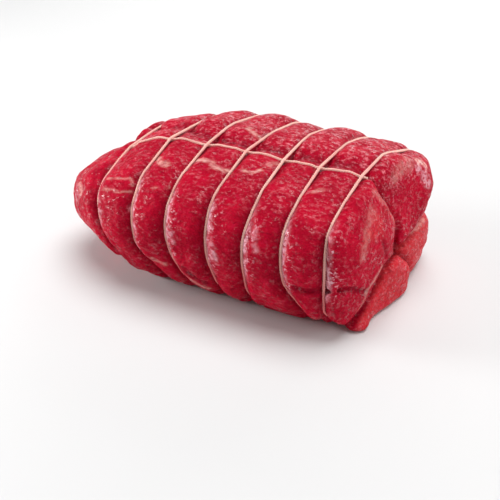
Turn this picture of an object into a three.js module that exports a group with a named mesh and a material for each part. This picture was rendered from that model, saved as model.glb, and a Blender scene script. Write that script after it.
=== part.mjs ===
// A raw beef joint, boned, rolled and tied. Its muscles lie along +X as one piece of meat:
// a big one in front, one behind it on top, two under them that rest on the table, and one
// that fills the joint out behind its pointed end, with a loose flap on top of it. Seven
// loops of butcher's twine cut into the meat, and one lengthwise twine runs along the top
// under the loops. Units are millimetres, +Z is up, the table is z = 0.

import * as THREE from 'three';

// ---------------------------------------------------------------- driving dimensions

const LENGTH = 247;
const WIDTH = 157;
const HEIGHT = 98;

const TWINE_RADIUS = 0.9;
const CLEARANCE = 0.9; // between twine and meat, and between two twines

const GROOVE_DEPTH = 5.2; // how far a loop pulls the meat in at the sides
const SHALLOWER = 0.5; // share of that depth that is missing on top
const GROOVE_REACH = 9; // how far to each side of a loop the meat is pulled in
const GROOVE_CEILING = 3.4; // height of a groove above the table, where the joint rests
const BRIDGED = 0.8; // how far the lengthwise twine spans the bottom of a groove

// The loops are tied by hand. "x" is where a loop stands at half height, over the middle.
// "lean" is how far its top stands further along +X than that, and "turn" how far its back
// does. "sweep" is how far its lowest part runs aside, and "pull" how far the lengthwise
// twine pulls it.
const LOOPS = [
  { x: -74.3, lean: -9.6, turn: 0.6, sweep: 11, pull: 8 },
  { x: -39.2, lean: -4.3, turn: 1.9, sweep: 11, pull: 0 },
  { x: -11.4, lean: -2.6, turn: 2.4, sweep: 7, pull: 0 },
  { x: 19.4, lean: -3.1, turn: 3.6, sweep: 0, pull: 0 },
  { x: 40.1, lean: 2.3, turn: -2.1, sweep: 0, pull: 0 },
  { x: 71.8, lean: -3, turn: 2.8, sweep: 9, pull: 0 },
  { x: 98.6, lean: -1.3, turn: 3.4, sweep: 0, pull: 0 },
];
const TOP_FROM = 0.7 * HEIGHT; // the grooves get shallower above this height
const TOP_OVER = 0.2 * HEIGHT;
const SWEEP_FROM = 0.4 * HEIGHT; // the loops run aside below this height
const SWEEP_OVER = 0.24 * HEIGHT;
const PULL_REACH = 18;

// Rings of points are drawn round an axis that runs along X through the thick of the meat.
// The lengthwise twine lies straight above it.
const AXIS_Y = -0.121 * WIDTH;
const AXIS_Z = 0.45 * HEIGHT;
const MID_HEIGHT = HEIGHT / 2;
const COLUMNS = 48;
const TOP_COLUMN = COLUMNS / 4;

// The rings stop short of both ends, and a cap closes each end.
const LEFT_RING = -0.345 * LENGTH;
const RIGHT_RING = 0.445 * LENGTH;
const CAP_RINGS = 7;
const CAP_DEPTH = 45; // a cap's points lie on rays from this far behind its end ring

const TWINE_SIDES = 6;

// ---------------------------------------------------------------- the muscles

const smooth = (share) => THREE.MathUtils.smoothstep(share, 0, 1);
const vector = (x, y, z) => new THREE.Vector3(x, y, z);

// Each muscle is a rounded bar along X. "y" and "z" place its middle line, and
// "halfWidth" and "halfHeight" are its section. "tilt" turns the section about X, and
// "square" is the power of its superellipse. "leftRound" and "rightRound" are the
// lengths over which the ends round off, with the power "endSquare". To the left of
// "thinFrom", over the length "thinOver", a muscle gets lower by the share "thin" and
// narrower by the share "narrow", and its middle line drops by "sag".
const MUSCLES = [
  {
    // front, the biggest
    left: -0.496 * LENGTH,
    right: 0.48 * LENGTH,
    y: -0.149 * WIDTH,
    z: 0.499 * HEIGHT,
    halfWidth: 0.35 * WIDTH,
    halfHeight: 0.442 * HEIGHT,
    tilt: THREE.MathUtils.degToRad(13.8),
    square: 2.8,
    leftRound: 0.309 * LENGTH,
    rightRound: 0.062 * LENGTH,
    endSquare: 1.6,
    thinFrom: -0.052 * LENGTH,
    thinOver: 0.368 * LENGTH,
    thin: 0.13,
    narrow: 0,
    sag: 2.2,
  },
  {
    // behind, on top
    left: -0.41 * LENGTH,
    right: 0.497 * LENGTH,
    y: 0.151 * WIDTH,
    z: 0.611 * HEIGHT,
    halfWidth: 0.333 * WIDTH,
    halfHeight: 0.386 * HEIGHT,
    tilt: THREE.MathUtils.degToRad(-9.5),
    square: 2.5,
    leftRound: 0.082 * LENGTH,
    rightRound: 0.122 * LENGTH,
    endSquare: 2.2,
    thinFrom: -0.057 * LENGTH,
    thinOver: 0.335 * LENGTH,
    thin: 0.2,
    narrow: 0.66,
    sag: 8.4,
  },
  {
    // under the front muscle
    left: -0.353 * LENGTH,
    right: 0.513 * LENGTH,
    y: -0.059 * WIDTH,
    z: 0.121 * HEIGHT,
    halfWidth: 0.298 * WIDTH,
    halfHeight: 0.301 * HEIGHT,
    tilt: THREE.MathUtils.degToRad(-14.2),
    square: 3.3,
    leftRound: 0.098 * LENGTH,
    rightRound: 0.143 * LENGTH,
    endSquare: 2.2,
    thinFrom: -0.052 * LENGTH,
    thinOver: 0.368 * LENGTH,
    thin: 0.1,
    narrow: 0,
    sag: 0,
  },
  {
    // under the back muscle
    left: -0.403 * LENGTH,
    right: 0.488 * LENGTH,
    y: 0.246 * WIDTH,
    z: 0.225 * HEIGHT,
    halfWidth: 0.245 * WIDTH,
    halfHeight: 0.3 * HEIGHT,
    tilt: THREE.MathUtils.degToRad(-3.7),
    square: 2,
    leftRound: 0.195 * LENGTH,
    rightRound: 0.121 * LENGTH,
    endSquare: 3.3,
    thinFrom: -0.052 * LENGTH,
    thinOver: 0.368 * LENGTH,
    thin: 0.1,
    narrow: 0.1,
    sag: 0,
  },
  {
    // behind the pointed end
    left: -0.457 * LENGTH,
    right: -0.081 * LENGTH,
    y: 0.066 * WIDTH,
    z: 0.386 * HEIGHT,
    halfWidth: 0.259 * WIDTH,
    halfHeight: 0.309 * HEIGHT,
    tilt: THREE.MathUtils.degToRad(-10),
    square: 2.4,
    leftRound: 0.244 * LENGTH,
    rightRound: 0.098 * LENGTH,
    endSquare: 2,
    thinFrom: -0.052 * LENGTH,
    thinOver: 0.368 * LENGTH,
    thin: 0,
    narrow: 0,
    sag: 0,
  },
  {
    // a loose flap on top, at the pointed end
    left: -0.369 * LENGTH,
    right: -0.179 * LENGTH,
    y: 0.046 * WIDTH,
    z: 0.747 * HEIGHT,
    halfWidth: 0.109 * WIDTH,
    halfHeight: 0.068 * HEIGHT,
    tilt: THREE.MathUtils.degToRad(12),
    square: 2.2,
    leftRound: 0.029 * LENGTH,
    rightRound: 0.078 * LENGTH,
    endSquare: 3,
    thinFrom: -0.052 * LENGTH,
    thinOver: 0.368 * LENGTH,
    thin: 0,
    narrow: 0,
    sag: 0,
  },
];

// Slanting planes trim the right ends of some muscles, with a rounded edge.
const CUTS = [
  { muscle: 0, point: vector(113, -29, 81), normal: vector(0.95, -0.098, 0.295), rounding: 4 },
  { muscle: 0, point: vector(112, -63, 50), normal: vector(0.72, -0.69, 0), rounding: 8 },
  { muscle: 0, point: vector(120, -5, 56), normal: vector(0.65, 0.56, 0.51), rounding: 3 },
  { muscle: 1, point: vector(112, 3, 74), normal: vector(0.953, -0.207, 0.219), rounding: 2.5 },
  { muscle: 2, point: vector(117, -21, 5), normal: vector(0.968, -0.25, 0), rounding: 5 },
];

// Places where the meat swells, or caves in where the height is negative.
const LUMPS = [
  { place: vector(6, 47, 90), reach: 13, height: 3 },
  { place: vector(59, 45, 92), reach: 10, height: 2.5 },
  { place: vector(89, 46, 90), reach: 14, height: -2.5 },
  { place: vector(112, 39, 72), reach: 16, height: 4 },
  { place: vector(110, -50, 3), reach: 9, height: 3 },
  { place: vector(108, 43, 88), reach: 14, height: -3 },
  { place: vector(-84, -52, 14), reach: 14, height: -7 },
  { place: vector(-108, -51, 38), reach: 12, height: 3 },
  { place: vector(-117, -29, 52), reach: 16, height: 2 },
];

// Two muscles run together over this width at their seam. On the far side and behind the
// pointed end, where the meat is pressed together, they do so over more.
const BLEND = 2.5;
const FAR_BLEND = 28;
const BACK = { y: 0.15 * WIDTH, over: 0.2 * WIDTH, right: 0.42 * LENGTH };
const POINTED = { right: -0.26 * LENGTH, y: -0.11 * WIDTH, over: 0.1 * WIDTH, top: 0.66 * HEIGHT };
const FADE = 16; // length over which the wide blend fades in, along X and Z

function blendAt(point) {
  const behind = smooth((point.y - BACK.y) / BACK.over);
  const back = behind * smooth((BACK.right - point.x) / FADE);
  const beside = smooth((point.y - POINTED.y) / POINTED.over);
  const low = smooth((POINTED.top - point.z) / FADE);
  const pointed = beside * low * smooth((POINTED.right - point.x) / FADE);
  return BLEND + FAR_BLEND * Math.max(back, pointed);
}

function norm(a, b, power) {
  return (Math.abs(a) ** power + Math.abs(b) ** power) ** (1 / power);
}

function smoothUnion(a, b, width) {
  const overlap = Math.max(width - Math.abs(a - b), 0) / width;
  return Math.min(a, b) - (overlap * overlap * width) / 4;
}

// About how far a point is outside the muscle, and negative inside it.
function muscleDistance(muscle, point) {
  const thinning = smooth((muscle.thinFrom - point.x) / muscle.thinOver);
  const halfWidth = muscle.halfWidth * (1 - muscle.narrow * thinning);
  const halfHeight = muscle.halfHeight * (1 - muscle.thin * thinning);
  const dy = point.y - muscle.y;
  const dz = point.z - muscle.z + muscle.sag * thinning;
  const cos = Math.cos(muscle.tilt);
  const sin = Math.sin(muscle.tilt);
  const across = dy * cos + dz * sin;
  const up = dz * cos - dy * sin;
  const coreLeft = muscle.left + muscle.leftRound;
  const coreRight = muscle.right - muscle.rightRound;
  const past = point.x - THREE.MathUtils.clamp(point.x, coreLeft, coreRight);
  const end = past < 0 ? muscle.leftRound : muscle.rightRound;
  const section = norm(across / halfWidth, up / halfHeight, muscle.square);
  const share = Math.max(norm(section, past / end, muscle.endSquare), Number.EPSILON);
  return Math.hypot(across, up, past) * (1 - 1 / share);
}

function trimmedDistance(index, point) {
  const whole = muscleDistance(MUSCLES[index], point);
  return CUTS.filter((cut) => cut.muscle === index).reduce((distance, cut) => {
    const outside = point.clone().sub(cut.point).dot(cut.normal);
    return -smoothUnion(-distance, -outside, cut.rounding);
  }, whole);
}

function lumpHeight(point) {
  const heights = LUMPS.map((lump) => {
    const away = point.distanceTo(lump.place) / lump.reach;
    return lump.height * Math.exp(-away * away);
  });
  return heights.reduce((a, b) => a + b);
}

function isMeat(point) {
  const blend = blendAt(point);
  const distances = MUSCLES.map((_, index) => trimmedDistance(index, point));
  return distances.reduce((a, b) => smoothUnion(a, b, blend)) < lumpHeight(point);
}

// ---------------------------------------------------------------- leaning loops

// One of the loops' values at x, between the loops on both sides.
function between(x, value) {
  const after = LOOPS.findIndex((loop) => loop.x >= x);
  if (after === 0) return LOOPS[0][value];
  if (after < 0) return LOOPS[LOOPS.length - 1][value];
  const from = LOOPS[after - 1];
  const to = LOOPS[after];
  return THREE.MathUtils.lerp(from[value], to[value], (x - from.x) / (to.x - from.x));
}

// The joint is worked out with upright loops. This is where one of its points stands when
// the loops lean, turn and run aside.
function drawnAside(point) {
  const { x, y, z } = point;
  const leaning = (between(x, 'lean') * (z - MID_HEIGHT)) / MID_HEIGHT;
  const turned = (between(x, 'turn') * y) / (WIDTH / 2);
  const swept = between(x, 'sweep') * smooth((SWEEP_FROM - z) / SWEEP_OVER);
  const fromPull = Math.hypot(y - AXIS_Y, z - HEIGHT) / PULL_REACH;
  const pulled = between(x, 'pull') * Math.exp(-fromPull * fromPull);
  return vector(x + leaning + turned + swept + pulled, y, z);
}

// ---------------------------------------------------------------- the meat

// How far the meat goes from a point inside it, in a direction.
function reach(from, direction) {
  const coarse = 3;
  const halvings = 20;
  const isMeatAt = (distance) => {
    const point = from.clone().addScaledVector(direction, distance);
    return isMeat(drawnAside(point));
  };
  let inside = LENGTH;
  while (inside > 0 && !isMeatAt(inside)) inside -= coarse;
  let outside = inside + coarse;
  for (let i = 0; i < halvings; i += 1) {
    const middle = (inside + outside) / 2;
    if (isMeatAt(middle)) inside = middle;
    else outside = middle;
  }
  return inside;
}

// 1 at a loop, falling to 0 on both sides of its groove.
function grooveShare(x) {
  const nearest = Math.min(...LOOPS.map((loop) => Math.abs(x - loop.x)));
  const share = Math.min(nearest / GROOVE_REACH, 1);
  return (1 - share * share) ** 2;
}

// Where a ray from inside the meat comes out of it or meets the table.
function surfacePoint(from, direction) {
  const toTable = direction.z < 0 ? -from.z / direction.z : Infinity;
  const distance = Math.min(reach(from, direction), toTable);
  return from.clone().addScaledVector(direction, distance);
}

// One point of a ring: out from the axis to the surface, then back in by the depth of
// the groove there. A loop also lifts the meat off the table.
function ringPoint(x, column) {
  const angle = (column / COLUMNS) * 2 * Math.PI;
  const outward = vector(0, Math.cos(angle), Math.sin(angle));
  const point = surfacePoint(vector(x, AXIS_Y, AXIS_Z), outward);
  const share = grooveShare(x);
  const onTop = smooth((point.z - TOP_FROM) / TOP_OVER);
  point.addScaledVector(outward, -GROOVE_DEPTH * (1 - SHALLOWER * onTop) * share);
  point.z = Math.max(point.z, GROOVE_CEILING * share);
  return point;
}

function ring(x) {
  return Array.from({ length: COLUMNS }, (_, column) => ringPoint(x, column));
}

// One ring of an end cap: the end ring drawn in to a share of its size, then moved out
// to the surface. "side" is -1 for the left end and 1 for the right.
function capRing(endRing, share, side) {
  const heart = vector(endRing[0].x - side * CAP_DEPTH, AXIS_Y, AXIS_Z);
  return endRing.map((point) => {
    const y = THREE.MathUtils.lerp(AXIS_Y, point.y, share);
    const z = THREE.MathUtils.lerp(AXIS_Z, point.z, share);
    const drawnIn = vector(point.x, y, z);
    return surfacePoint(heart, drawnIn.sub(heart).normalize());
  });
}

// The rings of an end cap from its rim inwards, and the point at its middle.
function cap(endRing, side) {
  const rings = [];
  for (let i = 1; i < CAP_RINGS; i += 1) {
    const share = Math.cos((i / CAP_RINGS) * (Math.PI / 2));
    rings.push(capRing(endRing, share, side));
  }
  const pole = capRing([endRing[0]], 0, side)[0];
  return { rings, pole };
}

// A ring at each loop, and enough beside it to shape the groove and the swell between.
function ringPositions() {
  const beside = [-1, -0.5, 0, 0.5, 1];
  const positions = LOOPS.flatMap((loop) => beside.map((share) => loop.x + share * GROOVE_REACH));
  for (let i = 1; i < LOOPS.length; i += 1) {
    positions.push((LOOPS[i - 1].x + LOOPS[i].x) / 2);
  }
  const lastGrooveEnd = LOOPS[LOOPS.length - 1].x + GROOVE_REACH;
  positions.push(LEFT_RING, (lastGrooveEnd + RIGHT_RING) / 2, RIGHT_RING);
  return positions.sort((a, b) => a - b);
}

// ---------------------------------------------------------------- meshes

function geometryOf(points, triangles) {
  const geometry = new THREE.BufferGeometry().setFromPoints(points);
  geometry.setIndex(triangles.flat());
  geometry.computeVertexNormals();
  return geometry;
}

// Triangles between rings of equal length, with each ring's points going round +X.
function skin(ringCount, ringLength, isClosed) {
  const triangles = [];
  const strips = isClosed ? ringCount : ringCount - 1;
  for (let i = 0; i < strips; i += 1) {
    for (let j = 0; j < ringLength; j += 1) {
      const next = (j + 1) % ringLength;
      const here = i * ringLength;
      const there = ((i + 1) % ringCount) * ringLength;
      triangles.push([here + j, here + next, there + next]);
      triangles.push([here + j, there + next, there + j]);
    }
  }
  return triangles;
}

// Triangles from a ring to one point. "isLast" says that the point closes the far end.
function fan(ringStart, ringLength, pole, isLast) {
  const triangles = [];
  for (let j = 0; j < ringLength; j += 1) {
    const here = ringStart + j;
    const next = ringStart + ((j + 1) % ringLength);
    triangles.push(isLast ? [here, next, pole] : [next, here, pole]);
  }
  return triangles;
}

function meatGeometry() {
  const rings = ringPositions().map(ring);
  const leftCap = cap(rings[0], -1);
  const rightCap = cap(rings[rings.length - 1], 1);
  const all = [...leftCap.rings.reverse(), ...rings, ...rightCap.rings];
  const points = [...all.flat(), leftCap.pole, rightCap.pole];
  const lastRing = (all.length - 1) * COLUMNS;
  const triangles = [
    ...skin(all.length, COLUMNS, false),
    ...fan(0, COLUMNS, points.length - 2, false),
    ...fan(lastRing, COLUMNS, points.length - 1, true),
  ];
  return geometryOf(points.map(drawnAside), triangles);
}

// A round tube through the points of a path, drawn aside with the loops. "outward" gives
// each point's direction away from the meat.
function tubeGeometry(uprightPath, outward, isClosed) {
  const path = uprightPath.map(drawnAside);
  const count = path.length;
  const sections = path.map((point, i) => {
    const before = isClosed ? path[(i + count - 1) % count] : path[Math.max(i - 1, 0)];
    const after = isClosed ? path[(i + 1) % count] : path[Math.min(i + 1, count - 1)];
    const along = after.clone().sub(before).normalize();
    const side = along.clone().cross(outward[i]).normalize();
    const up = side.clone().cross(along);
    return Array.from({ length: TWINE_SIDES }, (_, k) => {
      const angle = (k / TWINE_SIDES) * 2 * Math.PI;
      const corner = point.clone().addScaledVector(up, TWINE_RADIUS * Math.cos(angle));
      return corner.addScaledVector(side, TWINE_RADIUS * Math.sin(angle));
    });
  });
  const triangles = skin(count, TWINE_SIDES, isClosed);
  const points = sections.flat();
  if (!isClosed) {
    points.push(path[0], path[count - 1]);
    triangles.push(...fan(0, TWINE_SIDES, points.length - 2, false));
    triangles.push(...fan((count - 1) * TWINE_SIDES, TWINE_SIDES, points.length - 1, true));
  }
  return geometryOf(points, triangles);
}

// ---------------------------------------------------------------- the twine

// The middle of the lengthwise twine at x. It is tight, so it dips less than the meat.
function lengthwisePoint(x) {
  const point = ringPoint(x, TOP_COLUMN);
  point.z += BRIDGED * grooveShare(x) + TWINE_RADIUS + CLEARANCE;
  return point;
}

// The lengthwise twine goes from just before the first loop to just past the last.
function lengthwisePath() {
  const overhang = 4;
  const from = LOOPS[0].x - overhang;
  const to = LOOPS[LOOPS.length - 1].x + overhang;
  const inner = ringPositions().filter((x) => x > from + 1 && x < to - 1);
  return [from, ...inner, to].map(lengthwisePoint);
}

function lengthwiseGeometry() {
  const path = lengthwisePath();
  const up = path.map(() => vector(0, 0, 1));
  return tubeGeometry(path, up, false);
}

// The convex outline round points of one ring, anticlockwise seen from +X.
function convexOutline(points) {
  const sorted = [...points].sort((a, b) => a.y - b.y || a.z - b.z);
  const turn = (a, b, c) => (b.y - a.y) * (c.z - a.z) - (b.z - a.z) * (c.y - a.y);
  const chain = (ordered) => {
    const kept = [];
    ordered.forEach((point) => {
      while (kept.length > 1 && turn(kept[kept.length - 2], kept[kept.length - 1], point) <= 0) {
        kept.pop();
      }
      kept.push(point);
    });
    return kept.slice(0, -1);
  };
  return [...chain(sorted), ...chain(sorted.reverse())];
}

// Where a ray from the axis at the angle of a column leaves a convex outline.
function outlinePoint(outline, x, column) {
  const angle = (column / COLUMNS) * 2 * Math.PI;
  const ray = { y: Math.cos(angle), z: Math.sin(angle) };
  const distances = outline.map((a, i) => {
    const b = outline[(i + 1) % outline.length];
    const edge = { y: b.y - a.y, z: b.z - a.z };
    const facing = ray.y * edge.z - ray.z * edge.y;
    const offset = (a.y - AXIS_Y) * edge.z - (a.z - AXIS_Z) * edge.y;
    return facing > 0 ? offset / facing : Infinity;
  });
  const distance = Math.min(...distances);
  return vector(x, AXIS_Y + ray.y * distance, AXIS_Z + ray.z * distance);
}

// A loop is pulled tight, so it spans the hollows between the muscles in straight runs
// and passes over the lengthwise twine.
function loopGeometry(x) {
  const overTwine = lengthwisePoint(x);
  overTwine.z += TWINE_RADIUS;
  const outline = convexOutline([...ring(x), overTwine]);
  const tight = Array.from({ length: COLUMNS }, (_, column) => outlinePoint(outline, x, column));
  const outward = tight.map((point, i) => {
    const before = tight[(i + COLUMNS - 1) % COLUMNS];
    const after = tight[(i + 1) % COLUMNS];
    return vector(0, after.z - before.z, before.y - after.y).normalize();
  });
  const path = tight.map((point, i) => {
    const edge = tight[(i + 1) % COLUMNS].clone().sub(point).normalize();
    const mitre = 1 / edge.cross(outward[i]).length();
    return point.clone().addScaledVector(outward[i], mitre * (TWINE_RADIUS + CLEARANCE));
  });
  return tubeGeometry(path, outward, true);
}

// ---------------------------------------------------------------- materials and scene

const meatMaterial = new THREE.MeshStandardMaterial({
  color: 0xb01628,
  roughness: 0.38,
  metalness: 0,
});

const twineMaterial = new THREE.MeshStandardMaterial({
  color: 0xe6bfae,
  roughness: 0.8,
  metalness: 0,
});

function named(name, geometry, material) {
  const mesh = new THREE.Mesh(geometry, material);
  mesh.name = name;
  return mesh;
}

const joint = new THREE.Group();
joint.add(named('meat', meatGeometry(), meatMaterial));
joint.add(named('string_lengthwise', lengthwiseGeometry(), twineMaterial));
LOOPS.forEach((loop, i) => {
  joint.add(named(`string_loop_${i + 1}`, loopGeometry(loop.x), twineMaterial));
});

// The origin is on the table, under the middle of the whole joint.
const box = new THREE.Box3().setFromObject(joint);
const middle = box.getCenter(new THREE.Vector3());
joint.position.set(-middle.x, -middle.y, -box.min.z);

export default joint;
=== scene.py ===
"""A raw beef joint, boned, rolled and tied with butcher's twine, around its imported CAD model.

The meat is one closed surface: the zero of a field that is worked out in millimetres, in the
row frame. Its muscles run together, and grooves, creases, lumps and relief shape them. The
twines are laid on that surface and twisted from three plies.
"""

import math
from dataclasses import dataclass
from itertools import product

import bpy
import numpy as np
from mathutils import Euler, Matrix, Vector


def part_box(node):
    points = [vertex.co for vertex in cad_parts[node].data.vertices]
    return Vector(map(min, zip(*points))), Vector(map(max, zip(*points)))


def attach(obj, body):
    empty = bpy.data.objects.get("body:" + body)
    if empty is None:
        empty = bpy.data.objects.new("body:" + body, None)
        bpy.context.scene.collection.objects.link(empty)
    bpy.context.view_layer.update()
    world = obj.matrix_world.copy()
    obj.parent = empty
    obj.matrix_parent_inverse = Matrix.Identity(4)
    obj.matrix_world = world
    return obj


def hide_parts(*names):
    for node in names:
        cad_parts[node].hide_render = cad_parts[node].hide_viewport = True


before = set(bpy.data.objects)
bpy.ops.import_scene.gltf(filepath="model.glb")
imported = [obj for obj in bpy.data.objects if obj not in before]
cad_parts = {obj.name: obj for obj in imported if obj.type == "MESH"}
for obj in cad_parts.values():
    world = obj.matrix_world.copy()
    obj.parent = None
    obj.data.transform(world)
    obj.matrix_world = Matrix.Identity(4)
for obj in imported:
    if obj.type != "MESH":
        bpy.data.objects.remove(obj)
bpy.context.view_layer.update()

MM = 0.001

# ---------------------------------------------------------------- sizes from the frame

LOW, HIGH = (np.array(corner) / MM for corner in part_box("meat"))
LENGTH, WIDTH, HEIGHT = HIGH - LOW
MID_HEIGHT = HEIGHT / 2

AXIS_Y = -0.121 * WIDTH  # the lengthwise twine lies above this line, and the loops go round it
AXIS_Z = 0.445 * HEIGHT

# ---------------------------------------------------------------- smooth steps and random values


def smoothstep(value):
    """0 below 0 and 1 above 1, with a smooth rise between."""
    share = np.clip(value, 0, 1)
    return share * share * (3 - 2 * share)


def rise(value, start, over):
    """0 at the start, and 1 a length further on. Where that is negative, 1 is further down."""
    return smoothstep((value - start) / over)


def bell(away, width):
    """1 at no distance, and close to 0 from about two widths on."""
    return np.exp(-((away / width) ** 2))


TILE = 32  # the random values repeat after this many cells
CORNERS = list(product((0, 1), repeat=3))  # a cell's eight corners


def noise(points, size, seed):
    """Smooth random values from -1 to 1. Their cells are "size" long: one length, or three."""
    lattice = np.random.default_rng(seed).uniform(-1, 1, (TILE, TILE, TILE))
    cell = points / np.asarray(size, float)
    corner = np.floor(cell).astype(int)
    share = smoothstep(cell - corner)
    total = np.zeros(len(points))
    for offset in CORNERS:
        weight = np.prod(np.where(offset, share, 1 - share), axis=1)
        i, j, k = ((corner + offset) % TILE).T
        total += weight * lattice[i, j, k]
    return total


# ---------------------------------------------------------------- the loops' planes


@dataclass
class Loop:
    """A twine's leaning plane. Its lengths are in millimetres."""

    x: float  # where it stands at half height, over the row's middle line
    lean: float  # how far its top stands further along +X
    turn: float  # how far its back stands further along +X
    sweep: float = 0  # how far its lowest part runs aside along +X
    pull: float = 0  # how far the lengthwise twine pulls it along +X


LOOPS = [
    Loop(x=-75.4, lean=-10.1, turn=0.6, sweep=11, pull=8),
    Loop(x=-40, lean=-4.5, turn=1.9, sweep=11),
    Loop(x=-12.2, lean=-2.7, turn=2.4, sweep=7),
    Loop(x=18.6, lean=-3.2, turn=3.7),
    Loop(x=39.6, lean=2.4, turn=-2.1),
    Loop(x=71, lean=-3.1, turn=2.9, sweep=9),
    Loop(x=97.9, lean=-1.4, turn=3.5),
]
SWEEP_FROM = 0.4 * HEIGHT  # the loops run aside below this height
SWEEP_OVER = 0.24 * HEIGHT
PULL_REACH = 18


def loop_x(loop, y, z):
    """Where a loop stands: it leans, and the lengthwise twine pulls it aside."""
    plane = loop.x + loop.lean * (z - MID_HEIGHT) / MID_HEIGHT + loop.turn * y / (WIDTH / 2)
    swept = loop.sweep * rise(z, SWEEP_FROM, -SWEEP_OVER)
    from_pull = np.hypot(y - AXIS_Y, z - HEIGHT)
    return plane + swept + loop.pull * bell(from_pull, PULL_REACH)


def loop_point(loop, y, z):
    """The loop's points at these places across the joint."""
    return np.stack([loop_x(loop, y, z), y, z], -1)


def from_loop(loop, points):
    """How far the points are from a loop, along X."""
    x, y, z = points.T
    return x - loop_x(loop, y, z)


# ---------------------------------------------------------------- the muscles


@dataclass
class Muscle:
    """A rounded bar along X. Lengths are in millimetres, in the row frame."""

    left: float
    right: float
    y: float  # its middle line
    z: float
    half_width: float
    half_height: float
    tilt: float  # degrees that its section is turned about X
    square: float  # power of its section's superellipse
    left_round: float  # lengths over which its ends round off
    right_round: float
    end_square: float  # power of that rounding
    thin: float  # share by which it gets lower towards the left end
    narrow: float  # share by which it gets narrower there
    sag: float  # how far its middle line drops there
    thin_from: float = -0.055 * LENGTH  # where it starts to thin, and over what length
    thin_over: float = 0.37 * LENGTH
    cut_look: float = 0  # how pale its blunt end is


MUSCLES = [
    Muscle(  # front, the biggest
        left=-0.501 * LENGTH, right=0.48 * LENGTH, y=-0.149 * WIDTH, z=0.493 * HEIGHT,
        half_width=0.345 * WIDTH, half_height=0.437 * HEIGHT, tilt=13.8, square=2.8,
        left_round=0.311 * LENGTH, right_round=0.063 * LENGTH, end_square=1.6,
        thin=0.13, narrow=0, sag=2.2,
    ),
    Muscle(  # behind, on top
        left=-0.415 * LENGTH, right=0.498 * LENGTH, y=0.146 * WIDTH, z=0.605 * HEIGHT,
        half_width=0.328 * WIDTH, half_height=0.382 * HEIGHT, tilt=-9.5, square=2.5,
        left_round=0.082 * LENGTH, right_round=0.123 * LENGTH, end_square=2.2,
        thin=0.2, narrow=0.66, sag=8.4, thin_from=-0.06 * LENGTH, thin_over=0.337 * LENGTH,
    ),
    Muscle(  # under the front muscle
        left=-0.358 * LENGTH, right=0.513 * LENGTH, y=-0.06 * WIDTH, z=0.119 * HEIGHT,
        half_width=0.293 * WIDTH, half_height=0.298 * HEIGHT, tilt=-14.2, square=3.3,
        left_round=0.098 * LENGTH, right_round=0.144 * LENGTH, end_square=2.2,
        thin=0.1, narrow=0, sag=0, cut_look=0.7,
    ),
    Muscle(  # under the back muscle
        left=-0.408 * LENGTH, right=0.489 * LENGTH, y=0.241 * WIDTH, z=0.222 * HEIGHT,
        half_width=0.241 * WIDTH, half_height=0.297 * HEIGHT, tilt=-3.7, square=2,
        left_round=0.196 * LENGTH, right_round=0.122 * LENGTH, end_square=3.3,
        thin=0.1, narrow=0.1, sag=0, cut_look=0.8,
    ),
    Muscle(  # behind the pointed end
        left=-0.462 * LENGTH, right=-0.084 * LENGTH, y=0.063 * WIDTH, z=0.382 * HEIGHT,
        half_width=0.255 * WIDTH, half_height=0.305 * HEIGHT, tilt=-10, square=2.4,
        left_round=0.245 * LENGTH, right_round=0.098 * LENGTH, end_square=2,
        thin=0, narrow=0, sag=0,
    ),
    Muscle(  # a loose flap on top, at the pointed end
        left=-0.374 * LENGTH, right=-0.182 * LENGTH, y=0.044 * WIDTH, z=0.739 * HEIGHT,
        half_width=0.108 * WIDTH, half_height=0.067 * HEIGHT, tilt=12, square=2.2,
        left_round=0.029 * LENGTH, right_round=0.078 * LENGTH, end_square=3,
        thin=0, narrow=0, sag=0,
    ),
]


@dataclass
class Cut:
    """A slanting plane that trims a muscle's right end."""

    muscle: int
    point: tuple
    normal: tuple
    rounding: float


CUTS = [
    Cut(muscle=0, point=(112, -29, 81), normal=(0.95, -0.098, 0.295), rounding=4),
    Cut(muscle=0, point=(111, -63, 50), normal=(0.72, -0.69, 0), rounding=8),
    Cut(muscle=0, point=(119, -5, 56), normal=(0.65, 0.56, 0.51), rounding=3),
    Cut(muscle=1, point=(111, 3, 74), normal=(0.953, -0.207, 0.219), rounding=2.5),
    Cut(muscle=2, point=(116, -21, 5), normal=(0.968, -0.25, 0), rounding=5),
]

LEAST_SHARE = 0.05  # keeps the distance finite on a muscle's middle line


def norm(a, b, power):
    """The length of a and b at right angles, where the power is 2. More makes it squarer."""
    return (np.abs(a) ** power + np.abs(b) ** power) ** (1 / power)


def muscle_distance(muscle, points):
    """About how far the points are outside the muscle, and negative inside it."""
    x, y, z = points.T
    thinning = rise(x, muscle.thin_from, -muscle.thin_over)
    half_height = muscle.half_height * (1 - muscle.thin * thinning)
    half_width = muscle.half_width * (1 - muscle.narrow * thinning)
    dy = y - muscle.y
    dz = z - muscle.z + muscle.sag * thinning
    cos, sin = math.cos(math.radians(muscle.tilt)), math.sin(math.radians(muscle.tilt))
    across = dy * cos + dz * sin
    up = dz * cos - dy * sin
    section = norm(across / half_width, up / half_height, muscle.square)
    core = np.clip(x, muscle.left + muscle.left_round, muscle.right - muscle.right_round)
    past = np.maximum((core - x) / muscle.left_round, (x - core) / muscle.right_round)
    share = np.maximum(norm(section, past, muscle.end_square), LEAST_SHARE)
    from_core = np.sqrt(across**2 + up**2 + (x - core) ** 2)
    return from_core * (1 - 1 / share)


def smooth_union(a, b, width):
    """The smaller of two distances, and less than both where they differ by under a width."""
    overlap = np.maximum(width - np.abs(a - b), 0) / width
    return np.minimum(a, b) - overlap * overlap * width / 4


def muscle_distances(points):
    """The distances from all the muscles, with their cuts."""
    distances = np.array([muscle_distance(muscle, points) for muscle in MUSCLES])
    for cut in CUTS:
        outside = (points - cut.point) @ cut.normal
        distances[cut.muscle] = -smooth_union(-distances[cut.muscle], -outside, cut.rounding)
    return distances


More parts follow.
